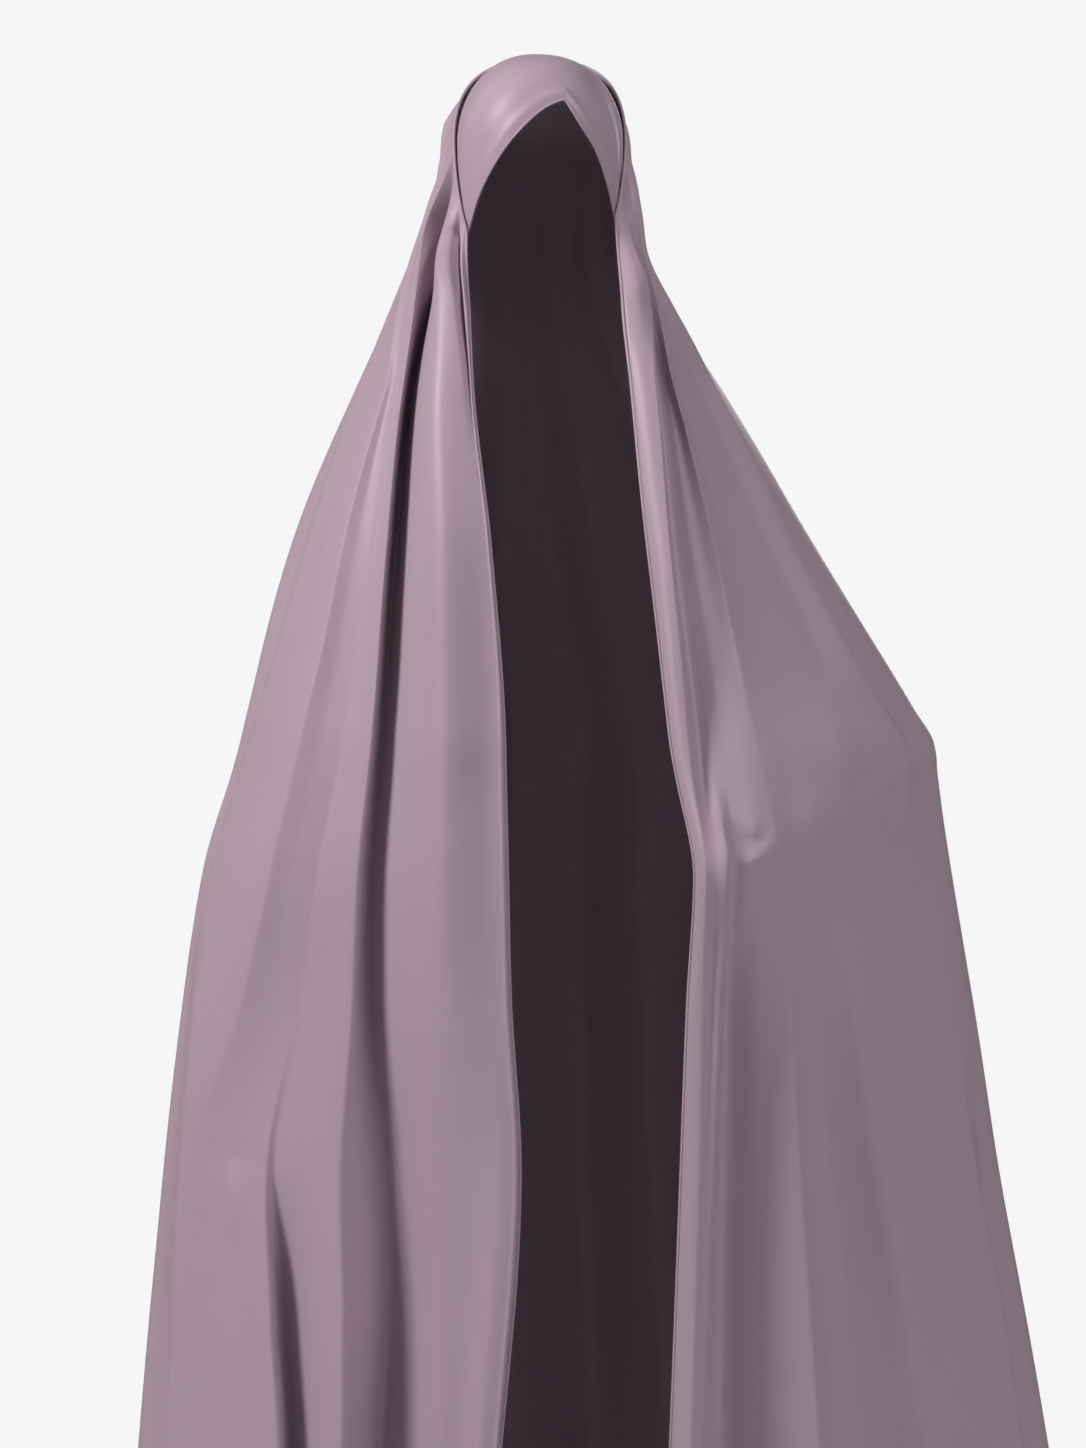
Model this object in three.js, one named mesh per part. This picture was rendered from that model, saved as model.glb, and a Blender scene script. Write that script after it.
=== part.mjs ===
// Chador: a long open mantle of light crepe that hangs from a headpiece fitted round the face. It is
// drawn as it is worn. Millimetres, +Z up, the front faces -Y, left and right are as seen from the
// front. The origin is where the inside of the crown sits on the head.
import * as THREE from "three";

// Driving sizes
const length = 1660; // crown to hem
const clothWall = 1.6; // one layer of cloth
const seamGap = 0.8; // between the headpiece and the mantle that laps over it
const seamLap = 14; // how far the headpiece runs on under the mantle
const headHalfWidth = 70; // of the hollow that the head fills, at the temples
const headHalfDepth = 97; // of the same hollow, front to back
const headRise = 78; // crown to the level where that hollow is widest
const headFall = 160; // from there down to where its form would close
const cheekDrop = { left: 152, right: 140 }; // crown to the lower corners of the face opening
const seamBack = 24; // the seam crosses the crown this far behind its middle
const seamFront = 38; // and ends this far before it, at the cheeks
const cheekAside = { left: 60, right: 62.5 }; // middle of the head to the corners of the face opening
const peakAside = 20; // the peak of the face opening stands this far right of the middle
const peakDrop = 49; // and this far below the crown
const reach = { left: 384, right: 511 }; // middle of the head to the side of the hem
const frontReach = 205; // middle of the head to the front of the cloth
const backReach = 260; // middle of the head to the back of the hem
const foldDepth = 40; // what the fold tables call one
const backFoldDepth = 34; // half the height of a back fold at the hem
const backFolds = 9; // soft folds that fan out down the back
const backFade = 1.2; // power by which the back folds die out towards the sides
const crownPuff = 3; // how far the gathers stand up beside the crown
const cordSteps = 2; // facets from one fold line to the next
const rows = 30; // facets from the seam to the hem
const headpieceColumns = 28;
const headpieceRows = 6;

// Sections of the mantle from the temples to the hem. Drops are shares of the length. Each panel has
// the place of its front edge and of its side, x as a share of that side's reach and y as a share of
// the front reach, and its fullness: 1 is a straight panel, 2 is a quarter ellipse. The back is a share
// of the back reach.
const sections = [
  {
    drop: 0.030,
    left: [-0.193, 0.05, -0.208, 0.12, 2.0],
    right: [0.145, 0.05, 0.147, 0.12, 2.0],
    back: 0.41,
  },
  {
    drop: 0.048,
    left: [-0.194, -0.02, -0.219, 0.12, 2.0],
    right: [0.146, -0.03, 0.154, 0.12, 2.0],
    back: 0.41,
  },
  {
    drop: 0.084,
    left: [-0.179, -0.17, -0.262, 0.12, 2.0],
    right: [0.134, -0.19, 0.174, 0.12, 2.0],
    back: 0.42,
  },
  {
    drop: 0.100,
    left: [-0.168, -0.27, -0.289, 0.11, 1.9],
    right: [0.134, -0.28, 0.177, 0.11, 1.9],
    back: 0.42,
  },
  {
    drop: 0.131,
    left: [-0.156, -0.45, -0.344, 0.07, 1.7],
    right: [0.135, -0.45, 0.233, 0.07, 1.6],
    back: 0.42,
  },
  {
    drop: 0.178,
    left: [-0.146, -0.59, -0.432, 0.05, 1.6],
    right: [0.149, -0.59, 0.325, 0.05, 1.5],
    back: 0.47,
  },
  {
    drop: 0.255,
    left: [-0.107, -0.73, -0.560, 0.02, 1.6],
    right: [0.172, -0.76, 0.472, 0.00, 1.4],
    back: 0.55,
  },
  {
    drop: 0.355,
    left: [-0.076, -0.80, -0.672, 0.00, 1.7],
    right: [0.209, -0.95, 0.658, -0.05, 1.25],
    back: 0.62,
  },
  {
    drop: 0.421,
    left: [-0.070, -0.82, -0.753, 0.00, 1.7],
    right: [0.245, -1.04, 0.697, 0.00, 1.25],
    back: 0.65,
  },
  {
    drop: 0.483,
    left: [-0.063, -0.83, -0.794, 0.00, 1.8],
    right: [0.235, -1.02, 0.728, 0.02, 1.35],
    back: 0.68,
  },
  {
    drop: 0.565,
    left: [-0.042, -0.84, -0.833, -0.02, 1.8],
    right: [0.225, -1.00, 0.773, 0.05, 1.5],
    back: 0.73,
  },
  {
    drop: 0.720,
    left: [-0.089, -0.88, -0.896, 0.02, 1.9],
    right: [0.205, -0.99, 0.859, 0.10, 1.7],
    back: 0.82,
  },
  {
    drop: 1.000,
    left: [-0.169, -0.93, -1.000, 0.07, 2.0],
    right: [0.172, -1.00, 1.000, 0.12, 1.9],
    back: 1.00,
  },
];

// Fold lines of the front panels, from the front edge outwards, at seven levels. Across is a share of
// the way from the edge to the side, relief is a share of the fold depth, and crisp is 0 for a soft
// bend, 1 for a crease.
const levels = [0.048, 0.131, 0.255, 0.355, 0.483, 0.565, 1]; // temple, neck, chest, elbow, hip, thigh, hem
const panelFolds = {
  left: [
    {
      name: "temple pleat",
      across: [0.40, 0.05, 0.06, 0.06, 0.07, 0.09, 0.10],
      relief: [0.10, 0.05, 0.02, 0.03, 0.04, 0.05, 0.06],
      crisp: 0.1,
    },
    {
      name: "temple tuck",
      across: [0.68, 0.12, 0.13, 0.14, 0.15, 0.14, 0.16],
      relief: [-0.08, -0.06, 0.00, 0.02, 0.00, -0.05, -0.12],
      crisp: 0.1,
    },
    {
      name: "front crest",
      across: [0.80, 0.30, 0.24, 0.24, 0.24, 0.22, 0.23],
      relief: [0.06, 0.12, 0.15, 0.15, 0.16, 0.18, 0.30],
      crisp: 0.0,
    },
    {
      name: "valley near side",
      across: [0.88, 0.48, 0.38, 0.36, 0.33, 0.31, 0.29],
      relief: [0.02, 0.08, 0.10, 0.02, -0.10, -0.15, 0.00],
      crisp: 0.2,
    },
    {
      name: "deep valley",
      across: [0.92, 0.55, 0.43, 0.42, 0.40, 0.37, 0.35],
      relief: [-0.10, -0.35, -0.50, -0.52, -0.45, -0.38, -0.50],
      crisp: 0.1,
    },
    {
      name: "valley far side",
      across: [0.95, 0.61, 0.49, 0.47, 0.47, 0.46, 0.43],
      relief: [0.04, 0.10, 0.12, 0.15, 0.12, 0.12, 0.35],
      crisp: 0.5,
    },
    {
      name: "low valley",
      across: [0.96, 0.72, 0.56, 0.55, 0.58, 0.64, 0.51],
      relief: [0.00, 0.02, 0.02, 0.02, 0.02, -0.10, -0.45],
      crisp: 0.1,
    },
    {
      name: "low ridge",
      across: [0.97, 0.80, 0.61, 0.61, 0.64, 0.69, 0.58],
      relief: [0.04, 0.12, 0.02, 0.02, 0.06, 0.15, 0.25],
      crisp: 0.4,
    },
    {
      name: "long ridge",
      across: [0.98, 0.88, 0.70, 0.74, 0.79, 0.86, 0.79],
      relief: [0.02, 0.10, 0.26, 0.28, 0.26, 0.25, 0.30],
      crisp: 0.5,
    },
    {
      name: "long hollow",
      across: [0.985, 0.92, 0.80, 0.86, 0.86, 0.88, 0.84],
      relief: [0.00, 0.00, 0.00, -0.02, -0.02, 0.02, -0.30],
      crisp: 0.0,
    },
    {
      name: "outer ridge",
      across: [0.99, 0.96, 0.89, 0.95, 0.92, 0.91, 0.88],
      relief: [0.02, 0.04, 0.10, 0.06, 0.12, 0.15, 0.25],
      crisp: 0.4,
    },
    {
      name: "outer tuck",
      across: [0.995, 0.98, 0.95, 0.98, 0.97, 0.96, 0.95],
      relief: [0.00, 0.00, 0.00, 0.00, -0.08, -0.25, -0.40],
      crisp: 0.1,
    },
  ],
  right: [
    {
      name: "front band",
      across: [0.30, 0.20, 0.06, 0.03, 0.025, 0.03, 0.035],
      relief: [0.08, 0.12, 0.12, 0.10, 0.08, 0.08, 0.12],
      crisp: 0.0,
    },
    {
      name: "band ridge",
      across: [0.55, 0.42, 0.12, 0.06, 0.05, 0.06, 0.07],
      relief: [0.05, 0.14, 0.16, 0.12, 0.08, 0.06, 0.08],
      crisp: 0.4,
    },
    {
      name: "band hollow",
      across: [0.62, 0.46, 0.155, 0.095, 0.11, 0.12, 0.13],
      relief: [0.00, -0.04, -0.12, -0.08, 0.02, -0.10, -0.15],
      crisp: 0.1,
    },
    {
      name: "bent valley",
      across: [0.68, 0.50, 0.22, 0.14, 0.16, 0.18, 0.21],
      relief: [-0.06, -0.16, -0.24, -0.18, -0.14, -0.24, -0.50],
      crisp: 0.1,
    },
    {
      name: "panel slope",
      across: [0.72, 0.54, 0.29, 0.22, 0.23, 0.26, 0.29],
      relief: [-0.02, -0.04, -0.08, -0.05, 0.02, 0.02, 0.02],
      crisp: 0.0,
    },
    {
      name: "middle ridge",
      across: [0.76, 0.58, 0.36, 0.30, 0.34, 0.37, 0.38],
      relief: [0.04, 0.08, 0.10, 0.05, 0.10, 0.14, 0.35],
      crisp: 0.4,
    },
    {
      name: "middle valley",
      across: [0.80, 0.66, 0.46, 0.38, 0.40, 0.43, 0.46],
      relief: [0.00, -0.04, -0.06, -0.02, -0.04, -0.08, -0.40],
      crisp: 0.0,
    },
    {
      name: "panel middle",
      across: [0.86, 0.80, 0.62, 0.50, 0.48, 0.50, 0.54],
      relief: [-0.02, -0.06, -0.06, 0.00, 0.00, 0.02, 0.05],
      crisp: 0.0,
    },
    {
      name: "upper ridge",
      across: [0.95, 0.92, 0.79, 0.66, 0.57, 0.58, 0.62],
      relief: [0.04, 0.08, 0.10, 0.08, 0.08, 0.10, 0.40],
      crisp: 0.4,
    },
    {
      name: "outer valley",
      across: [0.98, 0.96, 0.88, 0.82, 0.78, 0.78, 0.80],
      relief: [-0.02, -0.06, -0.08, -0.02, -0.04, -0.10, -0.45],
      crisp: 0.0,
    },
  ],
};

// Lines along which the front panels are lifted from beneath. Ends are [x share of the reach, drop
// share], push is a share of the fold depth, and it fades over these shares of the length.
const lifts = [
  { side: "right", from: [0.3, 0.418], to: [0.55, 0.37], push: 0.22, above: 0.1, below: 0.06, beside: 0.04 },
  { side: "left", from: [0.76, 0.566], to: [0.6, 0.582], push: 0.25, above: 0.12, below: 0.05, beside: 0.03 },
];

// The face opening in the headpiece, from each cheek to the peak: how far aside and how far down, both
// as shares of the way from the peak to that cheek.
const faceOpening = {
  left: [[1, 1], [0.88, 0.74], [0.60, 0.385], [0.20, 0.083], [0, 0]],
  right: [[1, 1], [0.89, 0.79], [0.63, 0.46], [0.34, 0.25], [0, 0]],
};

// Small helpers
const mix = (a, b, t) => a + (b - a) * t;
const clamp = (t) => Math.min(1, Math.max(0, t));
const ease = (t) => clamp(t) * clamp(t) * (3 - 2 * clamp(t));
const superArc = (t, power) => (1 - clamp(t) ** power) ** (1 / power);

// A smooth curve through the given stations that never swings past them
function curveThrough(stations, values) {
  const last = stations.length - 1;
  const slopes = values.slice(1).map((value, i) => (value - values[i]) / (stations[i + 1] - stations[i]));
  const tangents = values.map((_, i) => {
    if (i === 0) return slopes[0];
    if (i === last) return slopes[last - 1];
    const [before, after] = [slopes[i - 1], slopes[i]];
    return before * after <= 0 ? 0 : (2 * before * after) / (before + after);
  });
  return (station) => {
    const at = Math.min(stations[last], Math.max(stations[0], station));
    let i = 0;
    while (i < last - 1 && at > stations[i + 1]) i += 1;
    const span = stations[i + 1] - stations[i];
    const t = (at - stations[i]) / span;
    const rise = t * t * (3 - 2 * t);
    const bend = span * t * (1 - t);
    return mix(values[i], values[i + 1], rise) + bend * ((1 - t) * tangents[i] - t * tangents[i + 1]);
  };
}

// The head form that the headpiece lies on: a rounded box round the middle of the head
const headPower = 2.2;
const headMiddle = new THREE.Vector3(0, 0, -headRise);
const headTall = (z) => (z > 0 ? headRise : headFall);

function formRadius(direction) {
  const wide = Math.abs(direction.x / headHalfWidth) ** headPower;
  const deep = Math.abs(direction.y / headHalfDepth) ** headPower;
  const tall = Math.abs(direction.z / headTall(direction.z)) ** headPower;
  return (wide + deep + tall) ** (-1 / headPower);
}

// The point on the face side of the form at this x and this drop below the crown
function formFace(x, drop) {
  const rise = headRise - drop;
  const used = Math.abs(x / headHalfWidth) ** headPower + Math.abs(rise / headTall(rise)) ** headPower;
  return new THREE.Vector3(x, -headHalfDepth * Math.max(0, 1 - used) ** (1 / headPower), -drop);
}

// The seam: an arch over the head from cheek to cheek. Turn runs from -1, left, over 0, the crown, to
// 1, right.
function seamPoint(turn, back = 0) {
  const cheek = turn < 0 ? cheekDrop.left : cheekDrop.right;
  const lowest = Math.PI / 2 + Math.asin(((cheek - headRise) / headFall) ** (headPower / 2));
  const angle = Math.abs(turn) * lowest;
  const power = 2 / headPower;
  const rise = Math.sign(Math.cos(angle)) * Math.abs(Math.cos(angle)) ** power;
  const height = rise * headTall(rise);
  const y = mix(seamBack, -seamFront, clamp((headRise - height) / cheek) ** 1.3) + back;
  const shrink = superArc(Math.abs(y) / headHalfDepth, headPower);
  const x = Math.sign(turn) * headHalfWidth * Math.sin(angle) ** power * shrink;
  return new THREE.Vector3(x, y, height * shrink - headRise);
}

// Moves a point on the form outwards, away from the middle of the head
function liftOff(point, distance) {
  const away = point.clone().sub(headMiddle).normalize();
  return point.clone().addScaledVector(away, distance);
}

// Keeps a point of the mantle's outer face clear of the headpiece that it lies on
function restOnHead(point) {
  const away = point.clone().sub(headMiddle);
  const least = formRadius(away.clone().normalize()) + 2 * clothWall + seamGap;
  return away.length() < least ? away.setLength(least).add(headMiddle) : point;
}

// The mantle's base, without folds: one horizontal section at each drop below the mantle's own crown
const mantleTop = 2 * clothWall + seamGap;
const drops = sections.map((row) => row.drop * length);
const column = (pick, size) => curveThrough(drops, sections.map((row) => pick(row) * size));
const panelBase = (side) => ({
  edgeX: column((row) => row[side][0], reach[side]),
  edgeY: column((row) => row[side][1], frontReach),
  sideX: column((row) => row[side][2], reach[side]),
  sideY: column((row) => row[side][3], frontReach),
  fullness: column((row) => row[side][4], 1),
});
const base = {
  left: panelBase("left"),
  right: panelBase("right"),
  back: column((row) => row.back, backReach),
};
const dome = (drop) => superArc(Math.max(0, 1 - drop / headRise), headPower);

// A point and its outward normal in a front panel, at a share of the way from the edge to the side
function panelPoint(side, across, drop) {
  const panel = base[side];
  const power = panel.fullness(drop);
  const edge = [panel.edgeX(drop), panel.edgeY(drop)];
  const out = [panel.sideX(drop) * dome(drop), panel.sideY(drop) * Math.sqrt(dome(drop))];
  edge[0] *= dome(drop);
  const share = Math.min(across, 0.999);
  const width = out[0] - edge[0];
  const depth = out[1] - edge[1];
  const fall = 1 - superArc(share, power);
  const slope = [share ** (power - 1) / width, -((1 - fall) ** (power - 1)) / depth];
  const normal = new THREE.Vector2(...slope).normalize();
  return { point: new THREE.Vector2(edge[0] + width * share, edge[1] + depth * fall), normal };
}

// A point and its outward normal round the back, at a share of the way from the left side to the right
// side
function backPoint(turn, drop) {
  const power = mix(headPower, 2.1, clamp((drop - headRise) / headFall));
  const left = base.left.sideX(drop) * dome(drop);
  const right = base.right.sideX(drop) * dome(drop);
  const middle = (left + right) / 2;
  const sideY = mix(base.left.sideY(drop), base.right.sideY(drop), turn) * Math.sqrt(dome(drop));
  const depth = base.back(drop) * dome(drop) - sideY;
  const angle = turn * Math.PI;
  const cosine = Math.cos(angle);
  const wide = (Math.sign(cosine) * Math.abs(cosine) ** (2 / power) * (left - right)) / 2;
  const deep = Math.sin(angle) ** (2 / power) * depth;
  const half = (right - left) / 2;
  const slope = [
    (Math.sign(wide) * Math.abs(wide / half) ** (power - 1)) / half,
    Math.max(1e-6, deep / depth) ** (power - 1) / depth,
  ];
  const normal = new THREE.Vector2(...slope).normalize();
  return { point: new THREE.Vector2(middle + wide, sideY + deep), normal };
}

// How far a front panel is lifted from beneath at this place
function liftAt(side, x, drop) {
  let lift = 0;
  for (const line of lifts.filter((row) => row.side === side)) {
    const [fromX, toX] = [line.from[0], line.to[0]].map((share) => share * reach[side]);
    const [fromDrop, toDrop] = [line.from[1], line.to[1]].map((share) => share * length);
    const along = (Math.abs(x) - fromX) / (toX - fromX);
    const past = (Math.abs(along - clamp(along)) * Math.abs(toX - fromX)) / (line.beside * length);
    const below = (drop - mix(fromDrop, toDrop, clamp(along))) / length;
    const fade = below < 0 ? 1 + below / line.above : 1 - below / line.below;
    lift += line.push * foldDepth * ease(fade) * ease(1 - past);
  }
  return lift;
}

// Fold lines: each gives its place at a drop, where it leaves the seam, and how crisp it is
function panelLine(side, fold, start) {
  const stations = levels.map((level) => level * length);
  const across = curveThrough(stations, fold.across);
  const relief = curveThrough(stations, fold.relief.map((share) => share * foldDepth));
  const place = (drop) => {
    const { point, normal } = panelPoint(side, across(drop), drop);
    return point.addScaledVector(normal, relief(drop) + liftAt(side, point.x, drop));
  };
  return { place, start, crisp: fold.crisp };
}

function backLine(step, start) {
  const steps = 2 * backFolds;
  const sway = 1 + 0.25 * Math.sin(step * 2.4);
  const fade = Math.sin((Math.PI * step) / steps) ** backFade;
  const place = (drop) => {
    const fall = clamp((drop - headRise) / (length - headRise));
    const height = backFoldDepth * fall ** 0.8 * sway * fade * (step % 2 ? 1 : -0.8);
    const { point, normal } = backPoint(step / steps, drop);
    return point.addScaledVector(normal, height);
  };
  return { place, start, crisp: 0.1 };
}

// All fold lines in order, from the left front edge round the back to the right front edge. Front
// panels leave the seam between the cheek and the side of the crown, and the back leaves it between the
// sides of the crown.
const sideTurn = 0.42;
const flat = levels.map(() => 0);

function panelLines(side) {
  const edge = { across: flat, relief: flat, crisp: 0 };
  const outer = { across: levels.map(() => 1), relief: flat, crisp: 0 };
  const folds = [edge, ...panelFolds[side], outer];
  const sign = side === "left" ? -1 : 1;
  return folds.map((fold, i) => panelLine(side, fold, sign * mix(1, sideTurn, i / (folds.length - 1))));
}

const backLines = Array.from({ length: 2 * backFolds - 1 }, (_, i) => {
  const step = i + 1;
  return backLine(step, mix(-sideTurn, sideTurn, step / (2 * backFolds)));
});
const foldLines = [...panelLines("left"), ...backLines, ...panelLines("right").reverse()];

// A place on the section between fold line i and the next one, by a curve that each line's crispness
// tightens
function sectionPoint(i, t, drop) {
  const near = [i - 1, i, i + 1, i + 2].map((k) => Math.min(foldLines.length - 1, Math.max(0, k)));
  const points = near.map((k) => foldLines[k].place(drop));
  const gaps = [0, 1, 2].map((k) => Math.max(0.5, Math.sqrt(points[k].distanceTo(points[k + 1]))));
  const tangent = (k) => {
    if (near[k - 1] === near[k] || near[k] === near[k + 1]) {
      return points[2].clone().sub(points[1]);
    }
    const before = points[k].clone().sub(points[k - 1]).divideScalar(gaps[k - 1]);
    const after = points[k + 1].clone().sub(points[k]).divideScalar(gaps[k]);
    const across = points[k + 1].clone().sub(points[k - 1]).divideScalar(gaps[k - 1] + gaps[k]);
    return before.add(after).sub(across).multiplyScalar(gaps[1] * (1 - foldLines[near[k]].crisp));
  };
  const [from, to] = [tangent(1), tangent(2)];
  const rise = t * t * (3 - 2 * t);
  const place = points[1].clone().lerp(points[2], rise);
  place.addScaledVector(from, t * (1 - t) ** 2);
  return place.addScaledVector(to, -t * t * (1 - t));
}

// One point of the mantle's outer face: it leaves the seam, stands up a little, and goes over to the
// sections
const rowPower = 2.1; // rows lie closer near the head
const settle = 0.033; // share of the rows in which the cloth leaves the seam
const puffEnd = 0.16; // and in which it stands up beside the crown

function mantlePoint(line, t, rowShare) {
  const next = Math.min(line + 1, foldLines.length - 1);
  const turn = mix(foldLines[line].start, foldLines[next].start, t);
  const seam = liftOff(seamPoint(turn), clothWall * 2 + seamGap);
  const start = mantleTop - seam.z;
  const drop = start + (length - start) * rowShare ** rowPower;
  const spot = sectionPoint(line, t, drop);
  const target = new THREE.Vector3(spot.x, spot.y, mantleTop - drop);
  const point = seam.clone().setZ(target.z).lerp(target, clamp(rowShare / settle));
  const side = Math.exp(-(((Math.abs(turn) - 0.46) / 0.14) ** 2));
  const puff = crownPuff * side * Math.sin(Math.PI * clamp(rowShare / puffEnd));
  return restOnHead(liftOff(point, puff));
}

// A closed solid from a grid of points on its outer face: rows of columns, with du x dv pointing
// outwards
function clothSolid(grid, wall) {
  const [rowCount, columnCount] = [grid.length, grid[0].length];
  const within = (i, count) => Math.min(count - 1, Math.max(0, i));
  const at = (r, c) => grid[within(r, rowCount)][within(c, columnCount)];
  const positions = [];
  for (const row of grid) {
    for (const point of row) positions.push(point.x, point.y, point.z);
  }
  for (let r = 0; r < rowCount; r += 1) {
    for (let c = 0; c < columnCount; c += 1) {
      const du = at(r, c + 1).clone().sub(at(r, c - 1));
      const dv = at(r + 1, c).clone().sub(at(r - 1, c));
      const inner = at(r, c).clone().addScaledVector(du.cross(dv).normalize(), -wall);
      positions.push(inner.x, inner.y, inner.z);
    }
  }
  const outerId = (r, c) => r * columnCount + c;
  const innerId = (r, c) => rowCount * columnCount + outerId(r, c);
  const faces = [];
  const quad = (a, b, c, d) => faces.push(a, b, d, b, c, d);
  for (let r = 0; r < rowCount - 1; r += 1) {
    for (let c = 0; c < columnCount - 1; c += 1) {
      quad(outerId(r, c), outerId(r, c + 1), outerId(r + 1, c + 1), outerId(r + 1, c));
      quad(innerId(r, c), innerId(r + 1, c), innerId(r + 1, c + 1), innerId(r, c + 1));
    }
  }
  const rim = (ids) => {
    for (let i = 0; i < ids.length - 1; i += 1) {
      quad(ids[i][0], ids[i][1], ids[i + 1][1], ids[i + 1][0]);
    }
  };
  const ids = (count, pick) => Array.from({ length: count }, (_, i) => pick(i));
  const [lastRow, lastColumn] = [rowCount - 1, columnCount - 1];
  rim(ids(columnCount, (c) => [outerId(0, c), innerId(0, c)]));
  rim(ids(rowCount, (r) => [outerId(r, lastColumn), innerId(r, lastColumn)]));
  rim(ids(columnCount, (c) => [outerId(lastRow, lastColumn - c), innerId(lastRow, lastColumn - c)]));
  rim(ids(rowCount, (r) => [outerId(lastRow - r, 0), innerId(lastRow - r, 0)]));
  const geometry = new THREE.BufferGeometry();
  geometry.setAttribute("position", new THREE.Float32BufferAttribute(positions, 3));
  geometry.setIndex(faces);
  geometry.computeVertexNormals();
  return geometry;
}

// The mantle: its top edge laps over the headpiece, its hem and both front edges are free
function mantleGeometry() {
  const grid = [];
  for (let r = 0; r <= rows; r += 1) {
    const row = [];
    for (let line = 0; line < foldLines.length - 1; line += 1) {
      for (let k = 0; k < cordSteps; k += 1) row.push(mantlePoint(line, k / cordSteps, r / rows));
    }
    row.push(mantlePoint(foldLines.length - 2, 1, r / rows));
    grid.push(row);
  }
  return clothSolid(grid, clothWall);
}

// The front edge of the headpiece, from the left cheek (-1) over the peak (0) to the right cheek (1)
function openingPoint(turn) {
  const side = turn < 0 ? "left" : "right";
  const table = faceOpening[side];
  const stations = table.map((_, i) => i / (table.length - 1));
  const aside = curveThrough(stations, table.map((row) => row[0]))(1 - Math.abs(turn));
  const down = curveThrough(stations, table.map((row) => row[1]))(1 - Math.abs(turn));
  const cheekX = side === "left" ? -cheekAside.left : cheekAside.right;
  return formFace(mix(peakAside, cheekX, aside), mix(peakDrop, cheekDrop[side], down));
}

// How far out a place is, measured from the middle of the head: 1 is on the form
const onForm = (place) => place.length() / formRadius(place.clone().normalize());

// The headpiece: cloth on the head form, from the face opening back over the crown and on under the
// mantle
function headpieceGeometry() {
  const grid = [];
  for (let r = 0; r <= headpieceRows; r += 1) {
    const row = [];
    for (let c = 0; c <= headpieceColumns; c += 1) {
      const turn = mix(-1, 1, c / headpieceColumns);
      const front = openingPoint(turn).sub(headMiddle);
      const back = seamPoint(turn, seamLap).sub(headMiddle);
      const share = r / headpieceRows;
      const fit = mix(onForm(front), onForm(back), share);
      const direction = front.clone().normalize().lerp(back.clone().normalize(), share).normalize();
      const point = direction.multiplyScalar(formRadius(direction) * fit).add(headMiddle);
      row.push(liftOff(point, clothWall));
    }
    grid.push(row);
  }
  return clothSolid(grid, clothWall);
}

// Colours from the real cloth
const crepe = { color: "#a8989f", roughness: 0.62, metalness: 0 };

function clothMesh(name, geometry) {
  const mesh = new THREE.Mesh(geometry, new THREE.MeshStandardMaterial(crepe));
  mesh.name = name;
  return mesh;
}

const chador = new THREE.Group();
chador.add(clothMesh("headpiece", headpieceGeometry()));
chador.add(clothMesh("mantle", mantleGeometry()));

export default chador;
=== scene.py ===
# Chador: the looks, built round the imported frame. Metres, +Z up, the front faces -Y.
# Left and right are as seen from the front.
import math
import bpy
import numpy as np
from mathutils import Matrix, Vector, noise


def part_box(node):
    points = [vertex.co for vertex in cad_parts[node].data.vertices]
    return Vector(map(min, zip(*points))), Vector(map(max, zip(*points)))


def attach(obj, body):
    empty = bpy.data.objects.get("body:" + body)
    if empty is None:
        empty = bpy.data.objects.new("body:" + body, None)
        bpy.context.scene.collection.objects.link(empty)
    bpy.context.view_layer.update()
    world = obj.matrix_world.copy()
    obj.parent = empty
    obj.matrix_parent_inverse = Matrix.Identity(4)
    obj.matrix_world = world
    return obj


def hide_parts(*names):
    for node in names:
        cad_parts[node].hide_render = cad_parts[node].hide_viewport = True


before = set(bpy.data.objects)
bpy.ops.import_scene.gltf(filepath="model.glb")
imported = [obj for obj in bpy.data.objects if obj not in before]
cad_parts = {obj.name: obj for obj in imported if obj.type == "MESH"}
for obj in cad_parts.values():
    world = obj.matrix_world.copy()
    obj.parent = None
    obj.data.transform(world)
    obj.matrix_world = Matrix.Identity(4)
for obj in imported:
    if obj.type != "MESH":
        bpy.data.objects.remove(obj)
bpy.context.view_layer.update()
mantleLow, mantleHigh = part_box("mantle")
headpieceLow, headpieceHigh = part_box("headpiece")
print("frame loaded:", sorted(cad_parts))

# The rounded form that both pieces lie on, as in the frame
headForm = {
    "halfWidth": 0.070,
    "halfDepth": 0.097,
    "rise": 0.078,  # crown to the level where it is widest
    "fall": 0.160,  # from there down to where it would close
    "power": 2.2,
}
cloth = {
    "wall": 0.0009,  # as rendered
    "hem": 0.0013,  # radius of the mantle's rolled hem
    "fineHem": 0.00091,  # and of the headpiece's
    "lift": 0.0040,  # outer face of the mantle above the form
    "top": 0.0040,  # drops are counted from here
    "foldOut": 0.003,  # folds stand this far past the sections' sides
}
length = cloth["top"] - mantleLow.z
reach = {"left": -mantleLow.x - cloth["foldOut"], "right": mantleHigh.x - cloth["foldOut"]}
frontReach = 0.205
backReach = 0.260
foldDepth = 0.048


def mix(a, b, t):
    return a + (b - a) * t


def clamp(t):
    return np.clip(t, 0.0, 1.0)


def ease(t):
    t = clamp(t)
    return t * t * (3 - 2 * t)


def between(value, limits):
    return ease((value - limits[0]) / (limits[1] - limits[0]))


def superArc(t, power):
    return (1 - clamp(t) ** power) ** (1 / power)


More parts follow.
